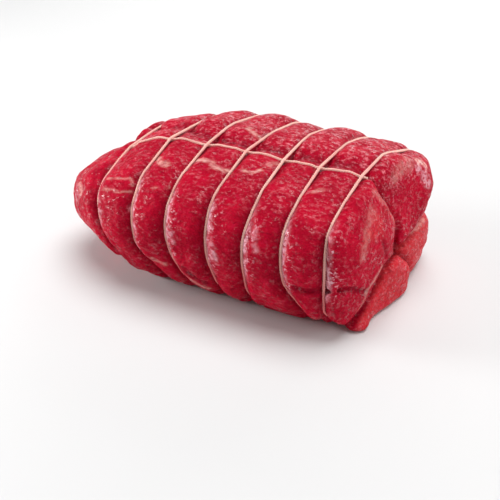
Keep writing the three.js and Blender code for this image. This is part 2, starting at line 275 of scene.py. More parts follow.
# ---------------------------------------------------------------- lumps, creases and grooves


@dataclass
class Lump:
    """A place where the meat swells, or caves in where the height is negative."""

    x: float
    y: float
    z: float
    reach: float
    height: float


LUMPS = [
    Lump(x=5, y=47, z=90, reach=13, height=3),
    Lump(x=58, y=45, z=92, reach=10, height=2.5),
    Lump(x=88, y=46, z=90, reach=14, height=-2.5),
    Lump(x=111, y=39, z=72, reach=16, height=4),
    Lump(x=114, y=-46, z=2, reach=10, height=6),
    Lump(x=92, y=-58, z=2, reach=13, height=-5),
    Lump(x=104, y=34, z=92, reach=8, height=-3),
    Lump(x=107, y=43, z=88, reach=14, height=-3),
    Lump(x=-86, y=-54, z=14, reach=12, height=-4),
    Lump(x=-66, y=-52, z=4, reach=13, height=-5),
    Lump(x=-83, y=-24, z=73, reach=8, height=-5),
    Lump(x=-109, y=-51, z=38, reach=12, height=3),
    Lump(x=-118, y=-29, z=52, reach=16, height=2),
]


def lumps(points):
    """How far the lumps stand out."""
    total = np.zeros(len(points))
    for lump in LUMPS:
        away = np.linalg.norm(points - (lump.x, lump.y, lump.z), axis=1)
        total += lump.height * bell(away, lump.reach)
    return total


@dataclass
class Line:
    """A line of points in millimetres, along which the meat is creased or paler."""

    points: list
    width: float
    strength: float


# Their strength is their depth in millimetres.
CREASES = [
    Line([
        (79, -77, 39), (90, -74, 39), (97, -69, 38), (104, -67, 40), (109, -62, 39), (114, -46, 30),
    ], 2, 3),
    Line([(116, -31, 58), (117, -27, 51), (117, -24, 45)], 1.6, 1.8),
    Line([(-89, -47, 70), (-86, -55, 66), (-84, -61, 62)], 2.5, 1.2),
    Line([(46, -72, 72), (47, -77, 65)], 1.8, 2),
    Line([(-1, -76, 30), (12, -69, 18)], 2, 2),
]


def from_line(points, corners):
    """How far the points are from a line of straight pieces between its corners."""
    nearest = np.full(len(points), np.inf)
    for start, end in zip(np.array(corners[:-1], float), np.array(corners[1:], float)):
        along = end - start
        share = np.clip((points - start) @ along / (along @ along), 0, 1)
        nearest = np.minimum(nearest, np.linalg.norm(points - start - share[:, None] * along, axis=1))
    return nearest


def creases(points):
    """How deep the named creases press in."""
    depth = np.zeros(len(points))
    for crease in CREASES:
        away = from_line(points, crease.points)
        depth = np.maximum(depth, crease.strength * bell(away, crease.width))
    return depth


VALLEY_DEPTH = 3.2  # the wide valley that a loop pulls into the meat
VALLEY_REACH = 9
UNEVEN = 0.35  # share by which its depth varies
UNEVEN_SIZE = 19
UNEVEN_SEED = 100
CUT_DEPTH = 2.8  # the narrow cut right under the twine
CUT_WIDTH = 1.9
TOP_FROM = 0.69 * HEIGHT  # the joint's top starts at this height
TOP_OVER = 0.19 * HEIGHT
TOP_SHALLOWER = 0.5  # share by which the grooves are shallower there


def grooves(points):
    """How deep the loops press in: deep round the sides, and less on top."""
    depth = np.zeros(len(points))
    kept = 1 - TOP_SHALLOWER * rise(points[:, 2], TOP_FROM, TOP_OVER)
    for seed, loop in enumerate(LOOPS, UNEVEN_SEED):
        away = from_loop(loop, points)
        share = np.clip(np.abs(away) / VALLEY_REACH, 0, 1)
        near = share < 1
        uneven = 1 + UNEVEN * noise(points[near], UNEVEN_SIZE, seed)
        valley = VALLEY_DEPTH * kept[near] * (1 - share[near] ** 2) ** 2 * uneven
        cut = CUT_DEPTH * kept[near] * bell(away[near], CUT_WIDTH)
        depth[near] = np.maximum(depth[near], valley + cut)
    return depth


# ---------------------------------------------------------------- the meat's field

BLEND = 2.5  # width over which two muscles run together
FAR_BLEND = 28  # it is this much wider on the far side, where the meat is pressed together
BACK_FROM = 0.15 * WIDTH  # the far side is the joint's back, up to the blunt end,
BACK_OVER = 0.2 * WIDTH
BACK_TO = 0.43 * LENGTH
BACK_TO_OVER = 20
POINTED_FROM = -0.26 * LENGTH  # and the lower meat behind the pointed end
POINTED_OVER = 15
POINTED_BEHIND = -0.11 * WIDTH
POINTED_BEHIND_OVER = 0.1 * WIDTH
POINTED_BELOW = 0.65 * HEIGHT
POINTED_BELOW_OVER = 8

MEETING_DEPTH = 2.6  # the crease where two muscles meet
MEETING_WIDTH = 2.6
DEEPER_FROM = 0.39 * LENGTH  # it gets twice as deep from here on
DEEPER_OVER = 15
ARCH = 0.8  # share of a groove's depth by which it lifts the meat off the table
TABLE_ROUND = 5  # how softly the meat turns up from the table

# Random relief: its height and the length of its cells.
RELIEF = [
    (1.2, 24),  # swells
    (0.9, 11),
    (0.5, (8, 5, 5)),  # wrinkles
    (0.28, (7, 2.6, 2.6)),  # fibres
]
RELIEF_OVER = 6  # it grows from nothing at the table to all of it at this height
RELIEF_REACH = 5  # it is worked out only this near to the surface


def far_side(points):
    """1 at the back and behind the pointed end, and 0 elsewhere."""
    x, y, z = points.T
    back = rise(y, BACK_FROM, BACK_OVER) * rise(x, BACK_TO, -BACK_TO_OVER)
    pointed = rise(x, POINTED_FROM, -POINTED_OVER) * rise(y, POINTED_BEHIND, POINTED_BEHIND_OVER)
    return np.maximum(back, pointed * rise(z, POINTED_BELOW, -POINTED_BELOW_OVER))


def shape(points):
    """The meat's field without its relief."""
    distances = muscle_distances(points)
    ordered = np.sort(distances, axis=0)
    between = ordered[1] - ordered[0]
    blend = BLEND + FAR_BLEND * far_side(points)
    joined = distances[0]
    for other in distances[1:]:
        joined = smooth_union(joined, other, blend)
    deeper = 1 + rise(points[:, 0], DEEPER_FROM, DEEPER_OVER)
    joined = joined + MEETING_DEPTH * deeper * bell(between, MEETING_WIDTH)
    joined += creases(points) - lumps(points)
    twine_groove = grooves(points)
    table = -points[:, 2] + ARCH * twine_groove
    return -smooth_union(-(joined + twine_groove), -table, TABLE_ROUND)


def relief(points):
    """Lumps, wrinkles and fibres that stand out of the meat."""
    total = np.zeros(len(points))
    for seed, (height, size) in enumerate(RELIEF, 1):
        total += height * noise(points, size, seed)
    return total * rise(points[:, 2], 0, RELIEF_OVER)


def meat(points):
    """The meat's field: about the distance from its surface, and negative inside it."""
    distance = shape(points)
    near = np.abs(distance) < RELIEF_REACH
    distance[near] -= relief(points[near])
    return distance


# ---------------------------------------------------------------- from a field to a mesh

CELL = 1.45  # the grid's spacing
MARGIN = 10  # the grid goes on this far past the meat's box

SETTLE_ROUNDS = 3
PROBE = 0.25  # length over which the field's slope is measured
LEAST_STEEP = 0.2  # the slope's square is taken as no less than this
MOST_STEP = 1  # about the furthest that a vertex moves in a round


def crossed_cells(grid, values):
    """A point in each of the grid's cells that the surface crosses, and the points' numbers."""
    cells = tuple(n - 1 for n in values.shape)

    def at(array, corner):
        return array[tuple(slice(o, o + n) for o, n in zip(corner, cells))]

    inside = sum((at(values, corner) < 0).astype(int) for corner in CORNERS)
    crossed = (inside > 0) & (inside < len(CORNERS))
    total = np.zeros(cells + (3,))
    count = np.zeros(cells)
    for axis, near in product(range(3), CORNERS):
        if near[axis]:
            continue
        far = tuple(o + (n == axis) for n, o in enumerate(near))
        a, b = at(values, near), at(values, far)
        cut = crossed & ((a < 0) != (b < 0))
        share = np.where(cut, a / np.where(cut, a - b, 1), 0)[..., None]
        place = at(grid, near) * (1 - share) + at(grid, far) * share
        total += np.where(cut[..., None], place, 0)
        count += cut
    points = total[crossed] / count[crossed][:, None]
    index = np.full(cells, -1)
    index[crossed] = np.arange(len(points))
    return points, index


def crossed_edges(values, index, axis):
    """A quad across each of the grid's edges along an axis that the surface crosses."""
    across = [n for n in range(3) if n != axis]
    a = values[tuple(slice(1, -1) if n in across else slice(0, -1) for n in range(3))]
    b = values[tuple(slice(1, -1) if n in across else slice(1, None) for n in range(3))]
    base = np.argwhere((a < 0) != (b < 0))
    leaving = a[tuple(base.T)] < 0
    ring = []
    for step in ((0, 0), (1, 0), (1, 1), (0, 1)):
        cell = base.copy()
        cell[:, across] += step
        ring.append(index[tuple(cell.T)])
    quads = np.stack(ring, 1)
    turned = leaving if axis != 1 else ~leaving
    return np.where(turned[:, None], quads, quads[:, ::-1])


def surface_mesh(field, low, high):
    """A closed mesh of quads at the zero of a field. It has one vertex in each cell of a grid
    that the surface crosses, and one quad across each edge that it crosses."""
    axes = [np.arange(a, b + CELL, CELL) for a, b in zip(low, high)]
    grid = np.stack(np.meshgrid(*axes, indexing="ij"), -1)
    values = field(grid.reshape(-1, 3)).reshape(grid.shape[:3])
    points, index = crossed_cells(grid, values)
    return points, np.concatenate([crossed_edges(values, index, axis) for axis in range(3)])


def gradient(field, points):
    """The field at the points, and how it grows along each axis."""
    here = field(points)
    steps = [field(points + PROBE * np.eye(3)[axis]) - here for axis in range(3)]
    return here, np.stack(steps, 1) / PROBE


def settled(field, points, quads):
    """Evens the mesh out, and puts its vertices back on the surface each time."""
    edges = np.concatenate([quads[:, [k, (k + 1) % 4]] for k in range(4)])
    neighbours = np.bincount(edges[:, 0], minlength=len(points))
    for _ in range(SETTLE_ROUNDS):
        total = np.stack(
            [np.bincount(edges[:, 0], points[edges[:, 1], axis], len(points)) for axis in range(3)], 1
        )
        points = (points + total / neighbours[:, None]) / 2
        here, slope = gradient(field, points)
        step = here / np.maximum((slope**2).sum(1), LEAST_STEEP)
        points = points - slope * np.clip(step, -MOST_STEP, MOST_STEP)[:, None]
    return points


def mesh_object(name, points, faces):
    """A smooth mesh object from points in millimetres."""
    mesh = bpy.data.meshes.new(name)
    mesh.from_pydata((points * MM).tolist(), [], faces.tolist())
    mesh.validate()
    mesh.shade_smooth()
    piece = bpy.data.objects.new(name, mesh)
    bpy.context.scene.collection.objects.link(piece)
    return piece


def paint(piece, name, values):
    """Stores one value for each vertex, which the materials read by its name."""
    attribute = piece.data.attributes.new(name, "FLOAT", "POINT")
    attribute.data.foreach_set("value", values.astype(np.float32))


def replace_node(piece, node, material):
    """Shows the piece in place of the CAD node."""
    piece.data.materials.append(material)
    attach(piece, "root")
    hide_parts(node)


# ---------------------------------------------------------------- materials

MIX_INPUTS = (0, 6, 7)  # the Mix node's share and its two colours
MIX_OUTPUT = 2


class Shader:
    """Builds one material's nodes."""

    def __init__(self, name):
        self.material = bpy.data.materials.new(name)
        self.material.use_nodes = True
        self.tree = self.material.node_tree
        self.surface = self.tree.nodes["Principled BSDF"]

    def feed(self, socket, value):
        """Links the socket to another node's, or sets its value."""
        if isinstance(value, bpy.types.NodeSocket):
            self.tree.links.new(value, socket)
        else:
            socket.default_value = value

    def set(self, node, inputs):
        for name, value in inputs.items():
            self.feed(node.inputs[name], value)

    def node(self, kind, inputs=None, **settings):
        made = self.tree.nodes.new(kind)
        for name, value in settings.items():
            setattr(made, name, value)
        self.set(made, inputs or {})
        return made

    def noise(self, grain, detail=2.0, roughness=0.5, along=1.0):
        """A random pattern with so many cells in a metre. It is drawn out along the joint where
        "along" is below 1."""
        where = self.node("ShaderNodeTexCoord").outputs["Object"]
        place = self.node("ShaderNodeMapping", {"Vector": where, "Scale": (along, 1, 1)})
        inputs = {
            "Vector": place.outputs["Vector"],
            "Scale": grain,
            "Detail": detail,
            "Roughness": roughness,
        }
        return self.node("ShaderNodeTexNoise", inputs).outputs["Fac"]

    def ramp(self, value, start, end, low=0.0, high=1.0):
        """A smooth step from low, where the value is at the start, to high at the end."""
        inputs = {"Value": value, "From Min": start, "From Max": end, "To Min": low, "To Max": high}
        return self.node("ShaderNodeMapRange", inputs, interpolation_type="SMOOTHSTEP").outputs["Result"]

    def math(self, operation, a, b):
        made = self.node("ShaderNodeMath", operation=operation)
        for socket, value in zip(made.inputs, (a, b)):
            self.feed(socket, value)
        return made.outputs["Value"]

    def plus(self, a, b):
        return self.math("ADD", a, b)

    def times(self, a, b):
        return self.math("MULTIPLY", a, b)

    def most(self, a, b):
        return self.math("MAXIMUM", a, b)

    def mix(self, share, a, b):
        made = self.node("ShaderNodeMix", data_type="RGBA")
        for number, value in zip(MIX_INPUTS, (share, a, b)):
            self.feed(made.inputs[number], value)
        return made.outputs[MIX_OUTPUT]

    def attribute(self, name):
        return self.node("ShaderNodeAttribute", attribute_name=name).outputs["Fac"]

    def bump(self, height, strength, distance):
        inputs = {"Height": height, "Strength": strength, "Distance": distance}
        return self.node("ShaderNodeBump", inputs).outputs["Normal"]


DARK_RED = (0.16, 0.001, 0.010, 1)
DEEP_RED = (0.38, 0.002, 0.018, 1)
RED = (0.47, 0.003, 0.023, 1)
BRIGHT_RED = (0.55, 0.010, 0.045, 1)
CUT_RED = (0.66, 0.045, 0.050, 1)
PALE_PINK = (0.78, 0.20, 0.24, 1)
# pale glossy film, with a painted highlight
SILVER_SKIN_AND_HIGHLIGHT = (0.92, 0.50, 0.58, 1)
# fat, also the colour of two painted highlights
FAT_AND_HIGHLIGHT = (0.85, 0.50, 0.44, 1)
TWINE_CREAM = (0.92, 0.54, 0.46, 1)
TWINE_STAINED = (0.85, 0.19, 0.20, 1)

# The random patterns' grain, in cells for each metre.
BLOTCHES = 55.0
SPOTS = 75.0
PATCHES = 90.0
MOTTLE = 300.0
FRAYED_EDGES = 330.0
WET_SPOTS = 360.0
SPECKS = 430.0
TWINE_STAINS = 60.0
TWINE_FUZZ = 3500.0

# Patterns with these shares of their grain along the joint are drawn out, as its fibres are.
FIBROUS = 0.7
VERY_FIBROUS = 0.6


def flesh_colour(made, cut_face):
    """Red meat in darker and brighter blotches, and paler where it is cut across."""
    blotch = made.noise(BLOTCHES, along=VERY_FIBROUS)
    colour = made.mix(made.ramp(blotch, 0.35, 0.65), DEEP_RED, RED)
    colour = made.mix(made.times(cut_face, 0.8), colour, CUT_RED)
    mottle = made.noise(MOTTLE, detail=3.0, roughness=0.7, along=FIBROUS)
    colour = made.mix(made.ramp(mottle, 0.52, 0.72, high=0.7), colour, BRIGHT_RED)
    return made.mix(made.ramp(mottle, 0.46, 0.30, high=0.45), colour, DARK_RED)


def marbled(made, colour, speck, cut_face):
    """Adds pale specks: most of them on the top, in spots and where the meat is cut across."""
    spotty = made.ramp(made.noise(SPOTS, detail=3.0), 0.44, 0.66, high=0.34)
    amount = made.plus(spotty, made.times(made.attribute("top"), 0.75))
    colour = made.mix(made.times(made.ramp(speck, 0.50, 0.68), amount), colour, PALE_PINK)
    grain = made.ramp(speck, 0.50, 0.66, high=0.35)
    return made.mix(made.times(grain, cut_face), colour, PALE_PINK)


def shaded(made, colour, frayed):
    """Painted shade: darkens the bulges' far flanks, the seams and the meat under the twine."""
    colour = made.mix(made.times(made.attribute("flank_shade"), 0.3), colour, DARK_RED)
    hollow_shade = made.most(made.attribute("seam_shade"), made.attribute("twine_groove"))
    hollow_shade = made.times(hollow_shade, made.ramp(frayed, 0.35, 0.6, low=1.0, high=0.4))
    return made.mix(made.times(hollow_shade, 0.9), colour, DARK_RED)


def film_highlight_share(made, speck, frayed):
    """Where the glossy film, with a highlight painted on it, covers the meat: in frayed patches, and in
    specks of painted glint round them.
    """
    patchy = made.ramp(made.noise(PATCHES), 0.36, 0.54, low=0.35)
    patches = made.times(made.attribute("film_highlight"), patchy)
    patches = made.times(made.ramp(frayed, 0.40, 0.58, low=0.1), patches)
    glints = made.times(made.ramp(speck, 0.56, 0.64), made.attribute("glint"))
    return made.most(patches, glints)


def meat_material():
    made = Shader("raw_beef")
    cut_face = made.attribute("cut_face")
    speck = made.noise(SPECKS, detail=3.0, roughness=0.7, along=FIBROUS)
    frayed = made.noise(FRAYED_EDGES, detail=4.0, roughness=0.65, along=VERY_FIBROUS)
    highlight_film = film_highlight_share(made, speck, frayed)
    fat_and_highlight_amount = made.times(made.attribute("fat_and_highlight"), made.ramp(frayed, 0.35, 0.58, low=0.25))
    colour = flesh_colour(made, cut_face)
    colour = marbled(made, colour, speck, cut_face)
    # painted shade on the far flanks, in the seams and creases, and under the twine
    colour = shaded(made, colour, frayed)
    # pale film with a painted highlight, and painted glints
    colour = made.mix(highlight_film, colour, SILVER_SKIN_AND_HIGHLIGHT)
    # fat and pale tissue, and two painted highlights
    colour = made.mix(made.times(fat_and_highlight_amount, 0.85), colour, FAT_AND_HIGHLIGHT)

    wet = made.noise(WET_SPOTS, roughness=0.6, along=FIBROUS)
    shine = made.plus(made.ramp(wet, 0.54, 0.66, low=0.04, high=0.6), made.times(highlight_film, 0.3))
    rough = made.plus(wet, made.times(speck, 0.6))
    made.set(made.surface, {
        "Base Color": colour,
        "Roughness": made.ramp(wet, 0.48, 0.64, low=0.5, high=0.2),
        "Specular IOR Level": shine,
        "IOR": 1.4,
        "Subsurface Weight": 0.1,
        "Subsurface Radius": (1.0, 0.2, 0.1),
        "Subsurface Scale": 0.002,
        "Normal": made.bump(rough, strength=0.7, distance=0.0016),
    })
    return made.material


def twine_material():
    made = Shader("cotton_twine")
    stain = made.ramp(made.noise(TWINE_STAINS, detail=3.0), 0.45, 0.75)
    stain = made.most(made.times(stain, 0.35), made.attribute("stain"))
    made.set(made.surface, {
        "Base Color": made.mix(stain, TWINE_CREAM, TWINE_STAINED),
        "Roughness": 0.75,
        "Subsurface Weight": 0.1,
        "Subsurface Radius": (1.0, 0.6, 0.4),
        "Subsurface Scale": 0.001,
        "Normal": made.bump(made.noise(TWINE_FUZZ), strength=0.5, distance=0.0003),
    })
    return made.material


# ---------------------------------------------------------------- what the meat's surface shows

# Fat and pale tissue, and two painted highlights. Their strength is their share of the colour.
FAT_STREAKS_AND_HIGHLIGHTS = [
    Line([(-13, -37, 88), (-6, -38, 89), (-1, -38, 89), (6, -42, 87), (12, -39, 87)], 2, 0.8),
    Line([(-41, -39, 84), (-33, -46, 85), (-29, -48, 85)], 2.2, 0.7),
    Line([(1, 8, 93), (7, 5, 91), (14, 3, 88)], 1.5, 0.8),
    Line([(33, -35, 90), (30, -40, 89), (24, -39, 89)], 1.4, 0.8),
    Line([(-70, -60, 71), (-65, -61, 74), (-57, -61, 76), (-50, -60, 77), (-47, -63, 74)], 0.8, 0.5),
    Line([(-69, -66, 67), (-60, -68, 70), (-53, -69, 70), (-46, -66, 71)], 0.9, 0.5),
    Line([(-41, -65, 72), (-28, -66, 75), (-20, -62, 77)], 0.8, 0.5),
    Line([(75, -43, 86), (79, -41, 87)], 1.8, 0.5),
    Line([(36, -28, 91), (39, -24, 91)], 1.6, 0.6),
    # a painted highlight on the pointed end's left edge
    Line([(-103, -51, 57), (-98, -58, 55)], 3, 0.6),
    Line([(108, -25, 88), (112, -18, 83), (114, -13, 77), (117, -8, 67), (119, -4, 58)], 3, 0.3),
    Line([(112, -35, 80), (112, -44, 76), (114, -51, 68), (114, -55, 60)], 4, 0.25),
    Line([(116, -1, 40), (115, -15, 38), (116, -31, 38), (115, -44, 32), (112, -48, 18)], 2.2, 0.5),
    Line([(115, 23, 38), (117, 38, 37), (118, 52, 37)], 2, 0.6),
    Line([(108, 5, 86), (110, 15, 90), (111, 25, 90)], 5, 0.3),
    # a painted highlight near the top of the back muscle's blunt end
    Line([(114, 35, 87), (116, 42, 83)], 3.5, 1),
    Line([(0, -69, 24), (9, -63, 15)], 1.6, 0.6),
    Line([(-27, -73, 30), (-17, -74, 27)], 1.6, 0.5),
]

# Patches of pale, glossy film, painted as highlights.
FILM_HIGHLIGHTS = [
    Line([(-70, -70, 62), (-70, -72, 56), (-69, -75, 48)], 2, 0.5),
    Line([(-42, -73, 62), (-39, -78, 57), (-37, -80, 48)], 3, 0.5),
    Line([(-11, -76, 64), (-9, -80, 56), (-8, -81, 50)], 3, 0.5),
    Line([(19, -76, 63), (21, -80, 55), (22, -81, 46)], 3.5, 0.6),
    Line([(50, -76, 70), (53, -80, 60)], 2.5, 0.4),
    Line([(-108, -50, 54), (-103, -54, 48)], 3.5, 0.6),
    Line([(115, 31, 84), (121, 36, 74)], 4.5, 0.6),
]
SOLID = 0.4  # share of its width in which a line is solid
FRAY = 0.5  # share of its width by which its edges wander
FRAY_SIZE = 3
FRAY_SEED = 7

SIDE_FROM = 0.27 * HEIGHT  # the sides' looks start above this height, and end at the top
SIDE_OVER = 15
FILM_GAP = 0.5  # bare meat between a twine and the film's painted highlight
FILM_SOLID = 1  # the film fades out from this far on
FILM_REACH = 6
GLINT_REACH = 14
LESS_FILM_BEHIND = 0.6  # share by which there is less of it behind the middle line
BEHIND_OVER = 10
FLANK_GAP = 1  # a flank's painted shade starts this far past its twine
FLANK_OVER = 1.5
FLANK_REACH = 8

CUT_FACE_FROM = 0.441 * LENGTH
CUT_FACE_OVER = 4
FACET_EDGE = 2  # the front muscle's paler facet fades out over this length
TOP_IN_FRONT = 0.4  # how pale the top is in front of the lengthwise twine
TOP_BEHIND_OVER = 12
SEAM_WIDTH = 2.0
DARK_DEPTH = 2  # a crease as deep as this gets the full painted shade
# width of the painted shadow along each twine
TWINE_SHADOW_WIDTH = 2.6


def along_lines(points, lines):
    """The lines' strength on them, moved on to the nearest points, and 0 away from them."""
    amount = np.zeros(len(points))
    for line in lines:
        on_meat = [points[np.linalg.norm(points - place, axis=1).argmin()] for place in line.points]
        wander = FRAY * line.width * noise(points, FRAY_SIZE, FRAY_SEED)
        share = 1 - rise(from_line(points, on_meat) + wander, SOLID * line.width, line.width)
        amount = np.maximum(amount, line.strength * share)
    return amount


def upright(points):
    """1 half way up the sides, and 0 on the top and near the table."""
    height = points[:, 2]
    return rise(height, SIDE_FROM, SIDE_OVER) * (1 - rise(height, TOP_FROM, SIDE_OVER))


def film_highlight(points, reach):
    """The glossy film, with a highlight painted on it, on the side of each bulge that faces the pointed
    end.
    """
    amount = np.zeros(len(points))
    for loop in LOOPS:
        away = from_loop(loop, points)
        amount = np.maximum(amount, rise(away, FILM_GAP, 1) * (1 - rise(away, FILM_SOLID, reach)))
    return amount * upright(points) * (1 - LESS_FILM_BEHIND * rise(points[:, 1], 0, BEHIND_OVER))


def flank_shade(points):
    """Painted shade on the side of each bulge that faces the blunt end."""
    amount = np.zeros(len(points))
    for loop in LOOPS:
        before = -from_loop(loop, points)
        near = rise(before, -FLANK_GAP, FLANK_OVER) * (1 - rise(before, 0, FLANK_REACH))
        amount = np.maximum(amount, near)
    return amount * upright(points)


def cut_face(points):
    """How much of a cut face's paler look the blunt end has: most on the under muscles."""
    nearest = muscle_distances(points).argmin(axis=0)
    share = np.array([muscle.cut_look for muscle in MUSCLES])[nearest]
    facet = CUTS[0]
    on_facet = smoothstep(1 + (points - facet.point) @ facet.normal / FACET_EDGE)
    share = np.where(nearest == facet.muscle, on_facet, share)
    return share * rise(points[:, 0], CUT_FACE_FROM, CUT_FACE_OVER)


def top_look(points):
    """How pale the top is: more behind the lengthwise twine than in front of it."""
    _, y, z = points.T
    behind = rise(y, AXIS_Y, TOP_BEHIND_OVER)
    return rise(z, TOP_FROM, TOP_OVER) * (TOP_IN_FRONT + (1 - TOP_IN_FRONT) * behind)


def seam_shade(points):
    """Where painted shade goes: 1 where two muscles meet and in the deep creases, and 0 away from them.
    """
    distances = np.sort(muscle_distances(points), axis=0)
    meeting = bell(distances[1] - distances[0], SEAM_WIDTH)
    return np.maximum(meeting, np.minimum(creases(points) / DARK_DEPTH, 1))


def twine_groove(points):
    """Where painted shadow goes: 1 under a loop, and 0 away from it."""
    nearest = np.min([np.abs(from_loop(loop, points)) for loop in LOOPS], axis=0)
    return bell(nearest, TWINE_SHADOW_WIDTH)


def make_meat():
    """The meat's mesh, with where each of its looks goes painted on it."""
    points, quads = surface_mesh(meat, LOW - MARGIN, HIGH + MARGIN)
    points = settled(meat, points, quads)
    piece = mesh_object("meat_surface", points, quads)
    # Painted shade goes in the seams, creases, far flanks and under the twine; painted highlights go on
    # the film and glints.
    paint(piece, "seam_shade", seam_shade(points))
    paint(piece, "fat_and_highlight", along_lines(points, FAT_STREAKS_AND_HIGHLIGHTS))
    paint(piece, "film_highlight", np.maximum(film_highlight(points, FILM_REACH), along_lines(points, FILM_HIGHLIGHTS)))
    paint(piece, "glint", film_highlight(points, GLINT_REACH))
    paint(piece, "flank_shade", flank_shade(points))
    paint(piece, "cut_face", cut_face(points))
    paint(piece, "twine_groove", twine_groove(points))
    paint(piece, "top", top_look(points))
    replace_node(piece, "meat", meat_material())


# ---------------------------------------------------------------- the twine

TWINE_RADIUS = 1.05
SUNK = 0.2  # share of its radius by which a twine's middle stands off the meat
PLIES = 3
PLY_RADIUS = 0.5 * TWINE_RADIUS
PLY_OFFSET = 0.5 * TWINE_RADIUS
PLY_SIDES = 6
TWIST = 5.2  # length of one turn
TWINE_STEP = 0.65
SMOOTHING = 2.5  # a bend in a taut twine is rounded over this length
NEARLY_X = 0.7  # a twine that runs closer to X than this takes its sides from Y

STAIN = 0.85  # how stained a twine is near the table
STAINED_BELOW = 0.62 * HEIGHT
STAINED_OVER = 0.38 * HEIGHT

RAYS = 540
RAY_START = 0.55 * WIDTH + abs(AXIS_Y)  # further out than the meat
RAY_STEP = 0.5
HALVINGS = 8

OVERHANG = 4  # how far the lengthwise twine goes on past the outer loops
TAUT_REACH = 9  # it spans hollows up to about this far on each side
LENGTHWISE_POINTS = 400
DROP_STEP = 0.1


def outline(loop):
    """The meat's outline in a loop's plane, as y and z at even angles round the axis."""
    angles = np.arange(RAYS) / RAYS * 2 * math.pi
    cos, sin = np.cos(angles), np.sin(angles)

    def is_meat(radius):
        return meat(loop_point(loop, AXIS_Y + radius * cos, AXIS_Z + radius * sin)) < 0

    inner = np.full(RAYS, RAY_START)
    while True:
        outside = ~is_meat(inner)
        if not outside.any():
            break
        inner = np.where(outside, inner - RAY_STEP, inner)
    outer = inner + RAY_STEP
    for _ in range(HALVINGS):
        middle = (inner + outer) / 2
        found = is_meat(middle)
        inner, outer = np.where(found, middle, inner), np.where(found, outer, middle)
    return np.stack([AXIS_Y + inner * cos, AXIS_Z + inner * sin], -1)


def turns_left(a, b, c):
    return (b[0] - a[0]) * (c[1] - a[1]) > (b[1] - a[1]) * (c[0] - a[0])


def hull(points):
    """The convex outline round points, anticlockwise."""
    ordered = sorted(map(tuple, points))

    def chain(run):
        kept = []
        for point in run:
            while len(kept) > 1 and not turns_left(kept[-2], kept[-1], point):
                kept.pop()
            kept.append(point)
        return kept[:-1]

    return np.array(chain(ordered) + chain(ordered[::-1]))


def evenly(path, closed):
    """The path with its points a twine step apart, and its corners rounded."""
    if closed:
        path = np.concatenate([path, path[:1]])
    walked = np.concatenate([[0], np.cumsum(np.linalg.norm(np.diff(path, axis=0), axis=1))])
    count = int(walked[-1] / TWINE_STEP)
    at = np.linspace(0, walked[-1], count, endpoint=not closed)
    even = np.stack([np.interp(at, walked, column) for column in path.T], -1)
    reach = int(SMOOTHING / TWINE_STEP)
    padded = np.pad(even, ((reach, reach), (0, 0)), mode="wrap" if closed else "edge")
    weights = np.hanning(2 * reach + 3)[1:-1]
    weights /= weights.sum()
    return np.stack([np.convolve(column, weights, mode="valid") for column in padded.T], -1)


def across_path(path, closed):
    """Two directions at right angles to the path and to each other, at each of its points."""
    if closed:
        along = np.roll(path, -1, 0) - np.roll(path, 1, 0)
    else:
        along = np.gradient(path, axis=0)
    along /= np.linalg.norm(along, axis=1)[:, None]
    reference = np.where(np.abs(along[:, :1]) < NEARLY_X, [[1.0, 0.0, 0.0]], [[0.0, 1.0, 0.0]])
    side = np.cross(along, reference)
    side /= np.linalg.norm(side, axis=1)[:, None]
    return side, np.cross(side, along)


def tube(path, sides, radius, closed):
    """Points and quads of a round tube along a path."""
    side, up = across_path(path, closed)
    angles = np.arange(sides) / sides * 2 * math.pi
    ring = np.cos(angles)[None, :, None] * side[:, None] + np.sin(angles)[None, :, None] * up[:, None]
    points = (path[:, None] + radius * ring).reshape(-1, 3)
    count = len(path)
    here = np.arange(count if closed else count - 1)[:, None] * sides
    there = (here + sides) % (count * sides)
    column = np.arange(sides)[None]
    following = (column + 1) % sides
    quads = np.stack([here + following, here + column, there + column, there + following], -1)
    return points, quads.reshape(-1, 4)


def twisted(path, closed):
    """Points and faces of plies twisted round a path."""
    side, up = across_path(path, closed)
    turns = round(len(path) * TWINE_STEP / TWIST)
    phase = np.arange(len(path)) / len(path) * turns * 2 * math.pi
    all_points, all_faces, start = [], [], 0
    for ply in range(PLIES):
        turn = (phase + ply / PLIES * 2 * math.pi)[:, None]
        middle = path + PLY_OFFSET * (np.cos(turn) * side + np.sin(turn) * up)
        points, quads = tube(middle, PLY_SIDES, PLY_RADIUS, closed)
        all_points.append(points)
        all_faces += [tuple(quad) for quad in quads + start]
        end = start + len(points)
        if not closed:
            all_faces.append(tuple(range(start, start + PLY_SIDES)))
            all_faces.append(tuple(range(end - 1, end - PLY_SIDES - 1, -1)))
        start = end
    return np.concatenate(all_points), all_faces


def make_twine(name, path, closed, node, material):
    points, faces = twisted(path, closed)
    piece = mesh_object(name, points, np.array(faces, dtype=object))
    paint(piece, "stain", STAIN * rise(points[:, 2], STAINED_BELOW, -STAINED_OVER))
    replace_node(piece, node, material)


def lengthwise_height(x):
    """Where the top of the meat lies under the lengthwise twine."""
    z = np.full(len(x), HEIGHT + MARGIN)
    y = np.full(len(x), AXIS_Y)
    while True:
        outside = meat(np.stack([x, y, z], -1)) > 0
        if not outside.any():
            return z
        z = np.where(outside, z - DROP_STEP, z)


def lengthwise_path():
    """A line along the top, which spans the hollows."""
    left = loop_x(LOOPS[0], AXIS_Y, HEIGHT) - OVERHANG
    right = loop_x(LOOPS[-1], AXIS_Y, HEIGHT) + OVERHANG
    x = np.linspace(left, right, LENGTHWISE_POINTS)
    z = lengthwise_height(x)
    reach = int(TAUT_REACH / (x[1] - x[0]))
    lifted = np.array([z[max(i - reach, 0) : i + reach + 1].mean() for i in range(len(z))])
    z = np.maximum(z, lifted) + SUNK * TWINE_RADIUS
    return np.stack([x, np.full(len(x), AXIS_Y), z], -1)


